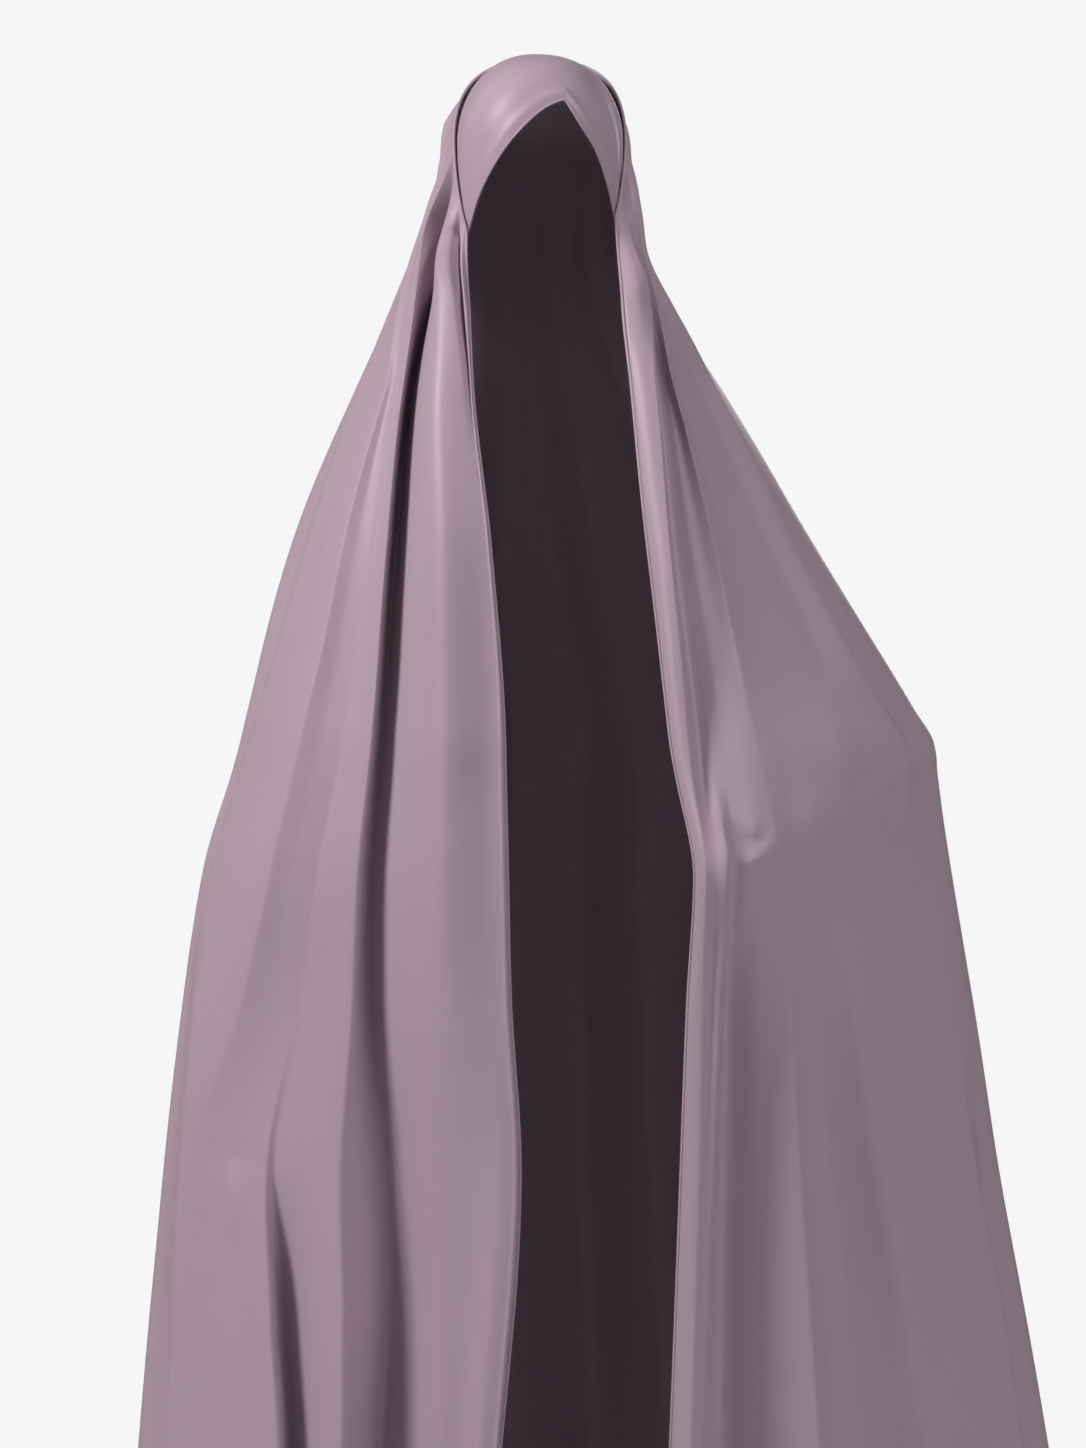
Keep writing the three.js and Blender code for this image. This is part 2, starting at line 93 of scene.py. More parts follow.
# A smooth curve through given values that never swings past them
def smoothThrough(stations, values, at):
    stations, values = np.asarray(stations, float), np.asarray(values, float)
    span = np.diff(stations)
    slope = np.diff(values) / span
    tangent = np.concatenate([slope[:1], np.zeros(len(slope) - 1), slope[-1:]])
    for i in range(1, len(slope)):
        before, after = slope[i - 1], slope[i]
        tangent[i] = 0 if before * after <= 0 else 2 * before * after / (before + after)
    at = np.clip(at, stations[0], stations[-1])
    i = np.clip(np.searchsorted(stations, at, side="right") - 1, 0, len(span) - 1)
    t = (at - stations[i]) / span[i]
    bend = span[i] * t * (1 - t) * ((1 - t) * tangent[i] - t * tangent[i + 1])
    return mix(values[i], values[i + 1], t * t * (3 - 2 * t)) + bend


def unit(vectors):
    return vectors / np.maximum(np.linalg.norm(vectors, axis=-1, keepdims=True), 1e-12)


# The rounded form and the seam over it
headMiddle = np.array([0.0, 0.0, -headForm["rise"]])


def headTall(z):
    return np.where(z > 0, headForm["rise"], headForm["fall"])


def formRadius(direction):
    x, y, z = direction[..., 0], direction[..., 1], direction[..., 2]
    power = headForm["power"]
    total = np.abs(x / headForm["halfWidth"]) ** power
    total = total + np.abs(y / headForm["halfDepth"]) ** power + np.abs(z / headTall(z)) ** power
    return total ** (-1 / power)


def liftOff(points, distance):
    return points + unit(points - headMiddle) * np.asarray(distance)[..., None]


def restOnHead(points, clearance):
    away = points - headMiddle
    far = np.linalg.norm(away, axis=-1)
    least = formRadius(unit(away)) + clearance
    return headMiddle + unit(away) * np.maximum(far, least)[..., None]


seam = {
    "cheekDrop": {"left": 0.152, "right": 0.140},
    "back": 0.024,  # behind the middle of the crown
    "front": 0.038,  # before it, at the cheeks
    "sweep": 0.6,  # how soon it comes forward on its way down
    "lap": 0.014,
}


def seamPoint(turn, back=0.0):
    turn = np.asarray(turn, float)
    power = headForm["power"]
    cheek = np.where(turn < 0, seam["cheekDrop"]["left"], seam["cheekDrop"]["right"])
    lowest = math.pi / 2 + np.arcsin(((cheek - headForm["rise"]) / headForm["fall"]) ** (power / 2))
    angle = np.abs(turn) * lowest
    rise = np.sign(np.cos(angle)) * np.abs(np.cos(angle)) ** (2 / power)
    height = rise * headTall(rise)
    forward = clamp((headForm["rise"] - height) / cheek) ** seam["sweep"]
    y = mix(seam["back"], -seam["front"], forward) + back
    shrink = superArc(np.abs(y) / headForm["halfDepth"], power)
    x = np.sign(turn) * headForm["halfWidth"] * np.sin(angle) ** (2 / power) * shrink
    return np.stack([x, y, height * shrink - headForm["rise"]], -1)


# Mantle sections: drop as a share of the length, edge x, edge y, side x, side y and fullness of both panels
sections = {
    "drop": [0.030, 0.048, 0.084, 0.100, 0.131, 0.178, 0.255, 0.340, 0.3565, 0.373, 0.421, 0.483,
             0.565, 0.720, 1.000],
    "left": {
        "edgeX": [-0.193, -0.192, -0.173, -0.166, -0.156, -0.146, -0.107, -0.078, -0.076, -0.075,
                  -0.070, -0.063, -0.042, -0.089, -0.169],
        "edgeY": [-0.04, -0.09, -0.17, -0.27, -0.45, -0.59, -0.73, -0.79, -0.80, -0.80, -0.82,
                  -0.83, -0.84, -0.88, -0.93],
        "sideX": [-0.206, -0.215, -0.256, -0.280, -0.334, -0.424, -0.560, -0.657, -0.674, -0.693,
                  -0.753, -0.794, -0.833, -0.896, -1.000],
        "sideY": [0.12, 0.12, 0.12, 0.11, 0.07, 0.05, 0.02, 0.00, 0.00, 0.00, 0.00, 0.00, -0.02,
                  0.02, 0.07],
        "fullness": [2.0, 2.0, 2.0, 1.9, 1.7, 1.6, 1.5, 1.5, 1.5, 1.5, 1.45, 1.4, 1.5, 1.7, 2.0],
    },
    "right": {
        "edgeX": [0.140, 0.140, 0.134, 0.134, 0.135, 0.149, 0.172, 0.203, 0.209, 0.218, 0.245,
                  0.235, 0.225, 0.205, 0.172],
        "edgeY": [-0.045, -0.10, -0.19, -0.28, -0.45, -0.59, -0.76, -0.92, -0.95, -0.98, -1.04,
                  -1.02, -1.00, -0.99, -1.00],
        "sideX": [0.145, 0.150, 0.168, 0.173, 0.219, 0.318, 0.463, 0.625, 0.656, 0.664, 0.692,
                  0.726, 0.768, 0.856, 1.000],
        "sideY": [0.12, 0.12, 0.12, 0.11, 0.07, 0.05, 0.00, -0.05, -0.05, -0.04, 0.00, 0.02, 0.05,
                  0.10, 0.12],
        "fullness": [2.0, 2.0, 2.0, 1.9, 1.6, 1.5, 1.4, 1.25, 1.25, 1.25, 1.25, 1.35, 1.5, 1.7,
                     1.9],
    },
    "back": [0.41, 0.41, 0.42, 0.42, 0.42, 0.47, 0.55, 0.61, 0.62, 0.63, 0.65, 0.68, 0.73, 0.82,
             1.00],
}

# Folds of the front panels from the front edge outwards. Across is a share of the way from edge to side at
# each level, relief a share of the fold depth, crisp runs from 0, a soft bend, to 1, a crease.
levels = [0.028, 0.048, 0.084, 0.131, 0.178, 0.255, 0.302, 0.355, 0.421, 0.483, 0.565, 0.644, 0.720, 1.000]
edgeRelief = {
    "left": [0.0, 0.0, 0.0, -0.02, -0.06, -0.12, -0.14, -0.15, -0.15, -0.18, -0.30, -0.45, -0.52, -0.52],
    "right": [0.0, 0.0, 0.0, -0.02, -0.06, -0.10, -0.12, -0.12, -0.06, -0.06, -0.10, -0.12, -0.14, -0.16],
}
leftFolds = [
    ("tube crest", 0.0,
     [0.15, 0.22, 0.16, 0.045, 0.010, 0.010, 0.010, 0.010, 0.010, 0.010, 0.010, 0.010, 0.010, 0.010],
     [0.06, 0.08, 0.08, 0.07, 0.03, 0.01, 0.01, 0.01, 0.01, 0.01, 0.01, 0.01, 0.01, 0.01]),
    ("tube valley", 0.6,
     [0.42, 0.46, 0.33, 0.09, 0.022, 0.020, 0.020, 0.020, 0.020, 0.020, 0.020, 0.020, 0.020, 0.020],
     [-0.12, -0.22, -0.26, -0.16, -0.04, 0.00, 0.00, 0.00, 0.00, 0.00, 0.00, 0.00, 0.00, 0.00]),
    ("second tube", 0.1,
     [0.55, 0.58, 0.43, 0.17, 0.08, 0.06, 0.06, 0.06, 0.06, 0.06, 0.06, 0.06, 0.06, 0.06],
     [0.08, 0.14, 0.14, 0.12, 0.10, 0.05, 0.03, 0.02, 0.02, 0.02, 0.02, 0.02, 0.03, 0.04]),
    ("front crest", 0.0,
     [0.66, 0.68, 0.55, 0.32, 0.25, 0.22, 0.22, 0.21, 0.20, 0.19, 0.15, 0.12, 0.11, 0.11],
     [0.08, 0.12, 0.14, 0.18, 0.24, 0.32, 0.34, 0.34, 0.30, 0.18, -0.10, -0.32, -0.42, -0.44]),
    ("crest fall", 0.0,
     [0.71, 0.73, 0.61, 0.42, 0.35, 0.31, 0.30, 0.29, 0.28, 0.27, 0.24, 0.20, 0.19, 0.18],
     [0.04, 0.04, 0.04, 0.06, 0.12, 0.16, 0.16, 0.16, 0.10, -0.02, -0.28, -0.50, -0.58, -0.62]),
    ("valley rise", 0.0,
     [0.77, 0.79, 0.68, 0.50, 0.435, 0.395, 0.39, 0.385, 0.37, 0.36, 0.32, 0.28, 0.27, 0.26],
     [-0.04, -0.10, -0.14, -0.16, -0.16, -0.16, -0.16, -0.16, -0.18, -0.30, -0.68, -1.00, -1.12, -1.20]),
    ("deep valley", 0.3,
     [0.82, 0.84, 0.785, 0.605, 0.525, 0.470, 0.465, 0.460, 0.445, 0.430, 0.385, 0.345, 0.335, 0.325],
     [-0.14, -0.32, -0.50, -0.56, -0.56, -0.54, -0.52, -0.50, -0.50, -0.60, -0.92, -1.28, -1.45, -1.60]),
    ("valley lip", 0.6,
     [0.87, 0.88, 0.79, 0.620, 0.545, 0.490, 0.485, 0.480, 0.470, 0.465, 0.49, 0.45, 0.42, 0.40],
     [0.08, 0.12, 0.14, 0.16, 0.18, 0.18, 0.18, 0.18, 0.16, 0.10, 0.02, 0.04, 0.04, 0.08]),
    ("low rise", 0.0,
     [0.905, 0.91, 0.81, 0.645, 0.565, 0.52, 0.52, 0.52, 0.52, 0.53, 0.57, 0.53, 0.49, 0.45],
     [0.04, 0.06, 0.10, 0.14, 0.15, 0.13, 0.12, 0.11, 0.10, 0.06, 0.00, -0.12, -0.16, -0.16]),
    ("low valley", 0.3,
     [0.92, 0.925, 0.83, 0.67, 0.585, 0.56, 0.56, 0.57, 0.585, 0.61, 0.68, 0.63, 0.57, 0.53],
     [0.02, 0.04, 0.08, 0.12, 0.14, 0.11, 0.10, 0.09, 0.07, 0.05, 0.00, -0.55, -0.70, -0.70]),
    ("low lip", 0.6,
     [0.935, 0.94, 0.86, 0.70, 0.61, 0.58, 0.58, 0.59, 0.605, 0.63, 0.695, 0.645, 0.585, 0.545],
     [0.02, 0.03, 0.08, 0.12, 0.14, 0.10, 0.09, 0.08, 0.07, 0.07, 0.10, 0.16, 0.18, 0.22]),
    ("ridge foot", 0.0,
     [0.95, 0.955, 0.92, 0.77, 0.64, 0.64, 0.65, 0.67, 0.68, 0.71, 0.79, 0.77, 0.76, 0.70],
     [0.02, 0.02, 0.04, 0.08, 0.13, 0.18, 0.20, 0.22, 0.24, 0.25, 0.22, 0.18, 0.14, 0.14]),
    ("long ridge", 0.7,
     [0.965, 0.97, 0.95, 0.83, 0.685, 0.70, 0.71, 0.74, 0.75, 0.79, 0.88, 0.865, 0.86, 0.84],
     [0.02, 0.04, 0.08, 0.14, 0.24, 0.36, 0.40, 0.44, 0.48, 0.50, 0.42, 0.30, 0.26, 0.28]),
    ("ridge flank", 0.0,
     [0.975, 0.98, 0.965, 0.88, 0.76, 0.78, 0.79, 0.82, 0.83, 0.85, 0.90, 0.885, 0.88, 0.87],
     [-0.02, -0.02, 0.00, 0.08, 0.18, 0.30, 0.34, 0.38, 0.44, 0.52, 0.46, 0.32, 0.24, 0.12]),
    ("hip ridge", 0.4,
     [0.98, 0.983, 0.975, 0.91, 0.84, 0.84, 0.86, 0.89, 0.90, 0.92, 0.915, 0.905, 0.895, 0.89],
     [0.00, 0.00, 0.00, 0.04, 0.10, 0.14, 0.14, 0.14, 0.20, 0.36, 0.40, 0.28, 0.18, 0.12]),
    ("outer ridge", 0.6,
     [0.985, 0.988, 0.982, 0.95, 0.92, 0.89, 0.91, 0.95, 0.965, 0.955, 0.94, 0.93, 0.91, 0.905],
     [0.00, 0.00, 0.02, 0.06, 0.08, 0.08, 0.06, 0.04, 0.04, 0.12, 0.16, 0.08, 0.06, 0.12]),
    ("outer gap", 0.3,
     [0.992, 0.994, 0.99, 0.975, 0.96, 0.94, 0.95, 0.975, 0.985, 0.98, 0.96, 0.95, 0.93, 0.92],
     [-0.04, -0.06, -0.06, -0.04, -0.04, -0.06, -0.06, -0.04, -0.08, -0.22, -0.36, -0.42, -0.48, -0.52]),
]
rightFolds = [
    ("front band", 0.0,
     [0.30, 0.30, 0.28, 0.22, 0.11, 0.06, 0.045, 0.030, 0.015, 0.020, 0.020, 0.020, 0.020, 0.020],
     [0.06, 0.08, 0.10, 0.14, 0.14, 0.14, 0.14, 0.12, 0.06, 0.04, 0.02, 0.02, 0.02, 0.02]),
    ("band ridge", 0.7,
     [0.60, 0.60, 0.55, 0.45, 0.23, 0.12, 0.09, 0.06, 0.035, 0.045, 0.050, 0.050, 0.050, 0.050],
     [0.04, 0.06, 0.14, 0.20, 0.26, 0.26, 0.22, 0.16, 0.12, 0.10, 0.10, 0.12, 0.14, 0.16]),
    ("band hollow", 0.2,
     [0.63, 0.63, 0.60, 0.48, 0.27, 0.155, 0.125, 0.10, 0.075, 0.075, 0.072, 0.070, 0.070, 0.070],
     [-0.02, -0.04, -0.08, -0.18, -0.28, -0.30, -0.24, -0.14, -0.02, 0.06, 0.06, 0.06, 0.06, 0.08]),
    ("bent ridge", 0.5,
     [0.66, 0.66, 0.63, 0.51, 0.32, 0.20, 0.17, 0.145, 0.115, 0.100, 0.090, 0.082, 0.080, 0.080],
     [-0.02, -0.02, -0.04, -0.12, -0.20, -0.24, -0.18, -0.10, 0.04, 0.14, 0.08, 0.02, -0.02, -0.02]),
    ("bent valley", 0.3,
     [0.69, 0.69, 0.66, 0.53, 0.35, 0.25, 0.22, 0.19, 0.150, 0.135, 0.132, 0.128, 0.128, 0.132],
     [-0.02, -0.02, -0.02, -0.06, -0.12, -0.14, -0.10, -0.06, -0.12, -0.38, -0.56, -0.70, -0.80, -0.86]),
    ("panel slope", 0.0,
     [0.72, 0.72, 0.69, 0.545, 0.375, 0.31, 0.28, 0.25, 0.23, 0.225, 0.230, 0.235, 0.240, 0.250],
     [-0.02, -0.02, -0.02, -0.04, -0.05, -0.06, -0.04, 0.00, 0.02, -0.08, -0.20, -0.30, -0.38, -0.42]),
    ("middle ridge", 0.7,
     [0.76, 0.76, 0.74, 0.60, 0.41, 0.375, 0.34, 0.31, 0.32, 0.335, 0.350, 0.365, 0.375, 0.380],
     [0.02, 0.04, 0.08, 0.14, 0.14, 0.08, 0.04, 0.02, 0.06, 0.14, 0.18, 0.18, 0.18, 0.22]),
    ("middle valley", 0.0,
     [0.80, 0.80, 0.79, 0.67, 0.48, 0.45, 0.43, 0.40, 0.39, 0.405, 0.430, 0.450, 0.460, 0.465],
     [0.00, 0.00, -0.04, -0.10, -0.10, -0.06, -0.03, 0.00, 0.00, -0.16, -0.36, -0.56, -0.70, -0.80]),
    ("panel middle", 0.0,
     [0.86, 0.86, 0.85, 0.80, 0.63, 0.62, 0.62, 0.52, 0.47, 0.500, 0.525, 0.560, 0.570, 0.580],
     [-0.02, -0.04, -0.08, -0.10, -0.08, -0.02, 0.00, 0.00, 0.02, -0.04, -0.20, -0.42, -0.56, -0.66]),
    ("low ridge", 0.2,
     [0.90, 0.90, 0.89, 0.86, 0.71, 0.69, 0.70, 0.62, 0.56, 0.565, 0.60, 0.64, 0.66, 0.68],
     [-0.02, -0.04, -0.06, -0.06, -0.02, 0.02, 0.02, 0.02, 0.02, 0.09, 0.04, -0.16, -0.28, -0.36]),
    ("upper ridge", 0.6,
     [0.95, 0.95, 0.94, 0.93, 0.81, 0.805, 0.82, 0.86, 0.86, 0.86, 0.86, 0.86, 0.85, 0.84],
     [0.02, 0.04, 0.08, 0.12, 0.16, 0.20, 0.18, 0.06, 0.00, -0.02, -0.04, -0.08, -0.14, -0.25]),
    ("outer step", 0.6,
     [0.965, 0.965, 0.96, 0.95, 0.84, 0.83, 0.85, 0.89, 0.91, 0.91, 0.91, 0.92, 0.91, 0.89],
     [-0.02, -0.06, -0.10, -0.12, -0.14, -0.14, -0.10, 0.00, 0.00, 0.00, 0.02, 0.05, 0.08, 0.10]),
    ("outer gap", 0.3,
     [0.985, 0.985, 0.98, 0.975, 0.94, 0.93, 0.94, 0.95, 0.95, 0.95, 0.955, 0.955, 0.940, 0.920],
     [0.00, 0.00, -0.02, -0.04, -0.04, -0.04, -0.02, 0.00, 0.00, 0.00, -0.12, -0.44, -0.60, -0.72]),
]
reliefLean = {  # folds rise forwards rather than outwards, apart from the head and the sides
    "most": 0.85,
    "across": {"left": (0.80, 1.00), "right": (0.55, 0.95)},
    "drop": (0.10, 0.30),
}
backFolds = {
    "count": 9,
    "height": 0.034,  # at the hem
    "fadePower": 1.2,  # towards the sides
    "growPower": 0.8,  # on the way down to the hem
    "valley": -0.8,  # depth of a valley for a ridge of 1
    "sway": 0.25,  # how unlike they are
    "swayStep": 2.4,
    "sideTurn": 0.42,  # where the back ends on the seam
    "crisp": 0.1,
    "power": 2.1,  # roundness of the back below the head
}
lifts = [  # lines along which a front panel is lifted from beneath: x share, drop share, at both ends
    {"side": "right", "start": (0.30, 0.420), "end": (0.645, 0.361), "push": 0.027,
     "above": 0.15, "below": 0.075, "beside": 0.025, "soft": 0.006},
    {"side": "left", "start": (0.70, 0.580), "end": (0.66, 0.584), "push": 0.003,
     "above": 0.10, "below": 0.16, "beside": 0.06, "soft": 0.016},
]
liftPower = {"above": 1.5, "below": 2.0}
mantleGrid = {
    "columns": 230,
    "countAt": 0.48,  # drop share at which their spread is measured
    "backShare": 0.45,  # the plain back gets fewer
    "crowding": 0.7,  # columns stand closer at the creases
    "settleTurn": (0.3, 0.6),  # from the back's settling to the front's
    "settlePower": 0.7,
    "settle": {"front": 0.085, "back": 0.020},  # drop in which the cloth leaves the seam's own line
    "gape": {"left": 0.0030, "right": 0.0028},  # how far the edge stands off over the seam
    "puff": {"left": 0.0060, "right": 0.0030},
    "puffTurn": (0.42, 0.22),  # middle and width, as shares of the way from the crown to the cheek
    "puffEnd": 0.085,  # drop below the seam where it has died out
    "puffPower": 0.6,
}
rowSteps = [  # down to this drop, in steps of this height
    (0.210, 0.0040),
    (0.560, 0.0095),
    (0.760, 0.0056),
    (0.980, 0.0100),
    (1.080, 0.0070),
    (1.660, 0.0145),
]


def sectionValue(side, key, size):
    drops = np.array(sections["drop"]) * length
    return lambda drop: smoothThrough(drops, np.array(sections[side][key]) * size, drop)


def panelBase(side):
    return {
        "edgeX": sectionValue(side, "edgeX", reach[side]),
        "edgeY": sectionValue(side, "edgeY", frontReach),
        "sideX": sectionValue(side, "sideX", reach[side]),
        "sideY": sectionValue(side, "sideY", frontReach),
        "fullness": sectionValue(side, "fullness", 1.0),
    }


panels = {"left": panelBase("left"), "right": panelBase("right")}


def backDepth(drop):
    return smoothThrough(np.array(sections["drop"]) * length, np.array(sections["back"]) * backReach, drop)


def dome(drop):
    return superArc(np.maximum(0, 1 - drop / headForm["rise"]), headForm["power"])


# A point and its outward normal in a front panel, at a share of the way from the edge to the side
def panelPoint(side, across, drop):
    panel = panels[side]
    power = panel["fullness"](drop)
    shrink = dome(drop)
    edgeX, edgeY = panel["edgeX"](drop) * shrink, panel["edgeY"](drop)
    width = panel["sideX"](drop) * shrink - edgeX
    depth = panel["sideY"](drop) * np.sqrt(shrink) - edgeY
    share = np.minimum(across, 0.999)
    fall = 1 - superArc(share, power)
    slope = np.stack([share ** (power - 1) / width, -((1 - fall) ** (power - 1)) / depth], -1)
    return np.stack([edgeX + width * share, edgeY + depth * fall], -1), unit(slope)


def backPoint(turn, drop):
    power = mix(headForm["power"], backFolds["power"], clamp((drop - headForm["rise"]) / headForm["fall"]))
    left = panels["left"]["sideX"](drop) * dome(drop)
    right = panels["right"]["sideX"](drop) * dome(drop)
    half = (right - left) / 2
    sideY = mix(panels["left"]["sideY"](drop), panels["right"]["sideY"](drop), turn) * np.sqrt(dome(drop))
    depth = backDepth(drop) * dome(drop) - sideY
    cosine = math.cos(turn * math.pi)
    wide = -np.sign(cosine) * np.abs(cosine) ** (2 / power) * half
    deep = math.sin(turn * math.pi) ** (2 / power) * depth
    slopeX = np.sign(wide) * np.abs(wide / half) ** (power - 1) / half
    slopeY = np.maximum(1e-6, deep / depth) ** (power - 1) / depth
    return np.stack([(left + right) / 2 + wide, sideY + deep], -1), unit(np.stack([slopeX, slopeY], -1))


def liftAt(side, x, drop):
    total = np.zeros_like(x)
    for line in lifts:
        if line["side"] != side:
            continue
        startX, endX = line["start"][0] * reach[side], line["end"][0] * reach[side]
        startDrop, endDrop = line["start"][1] * length, line["end"][1] * length
        along = (np.abs(x) - startX) / (endX - startX)
        past = np.abs(along - clamp(along)) * abs(endX - startX) / (line["beside"] * length)
        below = (drop - mix(startDrop, endDrop, clamp(along))) / length
        off = np.sqrt(below**2 + line["soft"] ** 2) - line["soft"]
        rising = clamp(1 - off / line["above"]) ** liftPower["above"]
        falling = clamp(1 - off / line["below"]) ** liftPower["below"]
        ramp = np.where(below < 0, rising, falling)
        total = total + line["push"] * ramp * ease(1 - past)
    return total


# Every fold line, from the left front edge round the back to the right front edge: its place at a dense row
# of drops, where it leaves the seam and how crisp it is
denseDrops = np.linspace(0.0, length, 1200)


def panelLines(side, folds):
    stations = np.array(levels) * length
    rows = [("edge", 0.0, [0.0] * len(levels), edgeRelief[side]), *folds]
    rows.append(("side", 0.0, [1.0] * len(levels), [0.0] * len(levels)))
    lines = []
    for i, (name, crisp, across, relief) in enumerate(rows):
        share = smoothThrough(stations, across, denseDrops)
        place, normal = panelPoint(side, share, denseDrops)
        lean = reliefLean["most"] * (1 - between(share, reliefLean["across"][side]))
        lean = lean * between(denseDrops, reliefLean["drop"])
        normal = unit(mix(normal, np.array([0.0, -1.0]), lean[:, None]))
        height = smoothThrough(stations, relief, denseDrops) * foldDepth
        forward = np.array([0.0, -1.0]) * liftAt(side, place[:, 0], denseDrops)[:, None]
        sign = -1 if side == "left" else 1
        turn = sign * mix(1.0, backFolds["sideTurn"], i / (len(rows) - 1))
        lines.append({"place": place + normal * height[:, None] + forward, "turn": turn, "crisp": crisp})
    return lines


def backLines():
    steps = 2 * backFolds["count"]
    lines = []
    for step in range(1, steps):
        sway = 1 + backFolds["sway"] * math.sin(step * backFolds["swayStep"])
        fade = math.sin(math.pi * step / steps) ** backFolds["fadePower"]
        fall = clamp((denseDrops - headForm["rise"]) / (length - headForm["rise"]))
        height = backFolds["height"] * fall ** backFolds["growPower"] * sway * fade
        height = height * (1 if step % 2 else backFolds["valley"])
        place, normal = backPoint(step / steps, denseDrops)
        turn = mix(-backFolds["sideTurn"], backFolds["sideTurn"], step / steps)
        lines.append({"place": place + normal * height[:, None], "turn": turn, "crisp": backFolds["crisp"]})
    return lines


foldLines = panelLines("left", leftFolds) + backLines() + panelLines("right", rightFolds)[::-1]


foldCurve = {"leastGap": 0.0005, "gapScale": 0.0316}


def placeOf(line, drop):
    place = foldLines[min(len(foldLines) - 1, max(0, line))]["place"]
    return np.stack([np.interp(drop, denseDrops, place[:, axis]) for axis in (0, 1)], -1)


# A place between fold line i and the next one, on a curve that each line's crispness tightens
def sectionPlace(i, t, drop):
    near = [min(len(foldLines) - 1, max(0, k)) for k in (i - 1, i, i + 1, i + 2)]
    points = [placeOf(k, drop) for k in near]
    gaps = []
    for k in range(3):
        apart = np.linalg.norm(points[k + 1] - points[k], axis=-1)
        gaps.append(np.maximum(foldCurve["leastGap"], apart**0.5 * foldCurve["gapScale"]))

    def tangent(k):
        if near[k - 1] == near[k] or near[k] == near[k + 1]:
            return points[2] - points[1]
        before = (points[k] - points[k - 1]) / gaps[k - 1][:, None]
        after = (points[k + 1] - points[k]) / gaps[k][:, None]
        across = (points[k + 1] - points[k - 1]) / (gaps[k - 1] + gaps[k])[:, None]
        return (before + after - across) * (gaps[1] * (1 - foldLines[near[k]]["crisp"]))[:, None]

    rise = t * t * (3 - 2 * t)
    place = mix(points[1], points[2], rise)
    return place + tangent(1) * (t * (1 - t) ** 2) - tangent(2) * (t * t * (1 - t))


# Columns go to the fold intervals by their width at the hip
def columnPlan():
    hip = np.full(1, mantleGrid["countAt"] * length)
    backStart, backEnd = len(leftFolds) + 1, len(foldLines) - len(rightFolds) - 2
    weights = []
    for i in range(len(foldLines) - 1):
        width = float(np.linalg.norm(placeOf(i + 1, hip) - placeOf(i, hip)))
        weights.append(width * (mantleGrid["backShare"] if backStart <= i < backEnd else 1.0))
    total = sum(weights)
    return [max(3, round(mantleGrid["columns"] * w / total)) for w in weights]


def rowShares():
    drops = [0.0]
    for end, step in rowSteps:
        count = max(1, round((end - drops[-1]) / step))
        drops += list(np.linspace(drops[-1], end, count + 1)[1:])
    return np.array(drops) / drops[-1]


def mantleColumn(i, t, shares):
    nextLine = min(i + 1, len(foldLines) - 1)
    turn = mix(foldLines[i]["turn"], foldLines[nextLine]["turn"], t)
    side = "left" if turn < 0 else "right"
    middle, width = mantleGrid["puffTurn"]
    beside = math.exp(-(((abs(turn) - middle) / width) ** 2))
    gape = mantleGrid["gape"][side] * beside
    start = liftOff(seamPoint(turn)[None, :], cloth["lift"] + gape)[0]
    startDrop = cloth["top"] - start[2]
    drop = startDrop + (length - startDrop) * shares
    spot = sectionPlace(i, t, drop)
    forward = between(abs(turn), mantleGrid["settleTurn"])
    reachDown = mix(mantleGrid["settle"]["back"], mantleGrid["settle"]["front"], forward)
    settle = ease((drop - startDrop) / reachDown)[:, None] ** mantleGrid["settlePower"]
    flat = mix(start[None, :2], spot, settle)
    points = np.concatenate([flat, (cloth["top"] - drop)[:, None]], 1)
    down = clamp((drop - startDrop) / mantleGrid["puffEnd"]) ** mantleGrid["puffPower"]
    puff = mantleGrid["puff"][side] * beside * np.sin(math.pi * down)
    return restOnHead(liftOff(points, puff), cloth["lift"])


# Small creases on the front panels, drawn as seen from the front: x and drop shares along each
creases = [
    {"side": "right", "path": [(0.655, 0.364), (0.590, 0.371), (0.530, 0.383)],
     "height": -0.0022, "width": 0.0060},
    {"side": "right", "path": [(0.565, 0.368), (0.530, 0.373), (0.500, 0.381)],
     "height": 0.0018, "width": 0.0055},
    {"side": "right", "path": [(0.540, 0.377), (0.548, 0.388), (0.550, 0.402)],
     "height": -0.0020, "width": 0.0050},
    {"side": "right", "path": [(0.500, 0.384), (0.503, 0.394), (0.512, 0.408)],
     "height": -0.0016, "width": 0.0050},
    {"side": "right", "path": [(0.600, 0.372), (0.604, 0.382), (0.612, 0.398)],
     "height": -0.0014, "width": 0.0050},
    {"side": "right", "path": [(0.290, 0.395), (0.318, 0.404), (0.345, 0.405), (0.362, 0.398)],
     "height": 0.0026, "width": 0.0050},
    {"side": "right", "path": [(0.285, 0.408), (0.320, 0.415), (0.360, 0.410)],
     "height": -0.0026, "width": 0.0050},
    {"side": "right", "path": [(0.330, 0.412), (0.326, 0.430), (0.318, 0.450)],
     "height": -0.0030, "width": 0.0060},
    {"side": "right", "path": [(0.306, 0.408), (0.302, 0.430), (0.296, 0.455)],
     "height": 0.0022, "width": 0.0050},
    {"side": "left", "path": [(0.700, 0.556), (0.672, 0.566), (0.640, 0.560)],
     "height": 0.0014, "width": 0.0070},
    {"side": "left", "path": [(0.672, 0.572), (0.662, 0.590), (0.652, 0.610)],
     "height": -0.0030, "width": 0.0060},
]
waver = {  # the cloth is nowhere quite even
    "height": 0.0011,
    "across": 26.0,
    "down": 5.0,
    "from": (0.15, 0.35),  # drops between which it sets in
}
creaseEnd = 0.08  # where a crease's taper starts and ends


